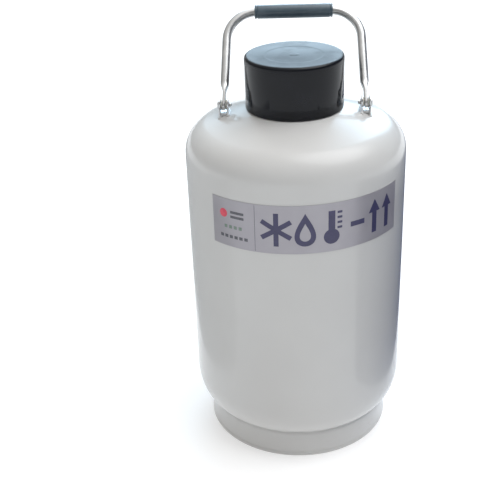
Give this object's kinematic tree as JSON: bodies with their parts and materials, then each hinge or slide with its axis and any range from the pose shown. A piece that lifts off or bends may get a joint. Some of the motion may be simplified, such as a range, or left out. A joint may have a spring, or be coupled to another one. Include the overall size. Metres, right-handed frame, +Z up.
{
  "type": "liquid nitrogen dewar",
  "caption": "Upright vacuum-insulated cryogenic storage vessel with a narrow neck, lift-off plugged lid, folding bail handle and foot ring.",
  "frame": {"origin": "centre of the foot ring's underside, on the floor, on the vessel's own axis", "axes": "+Z up along the vessel's axis; -Y is the front, with the label; the bail pivots along X and rests leaning back towards +Y"},
  "size_m": [0.3, 0.3008, 0.6017],
  "materials": {
    "white_paint": "gloss white enamel on spun aluminium",
    "aluminium": "bare spun aluminium, satin",
    "stainless": "polished stainless steel",
    "black_plastic": "glossy black moulded plastic",
    "grip_rubber": "slate-grey rubber sleeve, satin",
    "label_foil": "satin silver-grey printed foil",
    "fibreglass": "glass-fibre and epoxy tube",
    "foam": "closed-cell rigid foam",
    "insulation": "layers of aluminised film and glass-fibre paper",
    "adsorbent": "charcoal in a mesh bag",
    "nylon": "natural nylon"
  },
  "bodies": {
    "vessel": {"outer_shell": "white_paint", "outer_bottom": "white_paint", "foot_ring": "white_paint", "label_plate": "label_foil", "vacuum_port_tube": "aluminium", "vacuum_port_plug": "stainless", "neck_tube": "fibreglass", "neck_collar": "aluminium", "neck_ring": "black_plastic", "inner_vessel_bottom": "aluminium", "inner_vessel_top": "aluminium", "canister_spider": "aluminium", "insulation_wrap": "insulation", "insulation_bottom_pad": "insulation", "insulation_top_pad": "insulation", "adsorbent_pack": "adsorbent", "bail_bracket_left": "stainless", "bail_bracket_right": "stainless", "pivot_pin_left": "stainless", "pivot_pin_right": "stainless", "pin_clip_left": "stainless", "pin_clip_right": "stainless", "pivot_washer_left_outer": "nylon", "pivot_washer_left_inner": "nylon", "pivot_washer_right_outer": "nylon", "pivot_washer_right_inner": "nylon"},
    "bail": {"bail_tube": "stainless", "handle_grip": "grip_rubber"},
    "lid": {"lid_cap": "black_plastic", "plug_disc": "black_plastic", "neck_plug": "foam"},
    "port_cap": {"vacuum_port_cap": "black_plastic"}
  },
  "joints": [
    {"name": "bail_swing", "type": "hinge", "parent": "vessel", "child": "bail", "pos_m": [0, 0, 0.4879], "axis": [1, 0, 0], "range_deg": [-58, 134]},
    {"name": "lid_lift", "type": "slide", "parent": "vessel", "child": "lid", "axis": [0, 0, 1], "range_m": [0, 0.16]},
    {"name": "port_cap_pull", "type": "slide", "parent": "vessel", "child": "port_cap", "axis": [0, 0.3101, 0.9507], "range_m": [0, 0.016]}
  ]
}
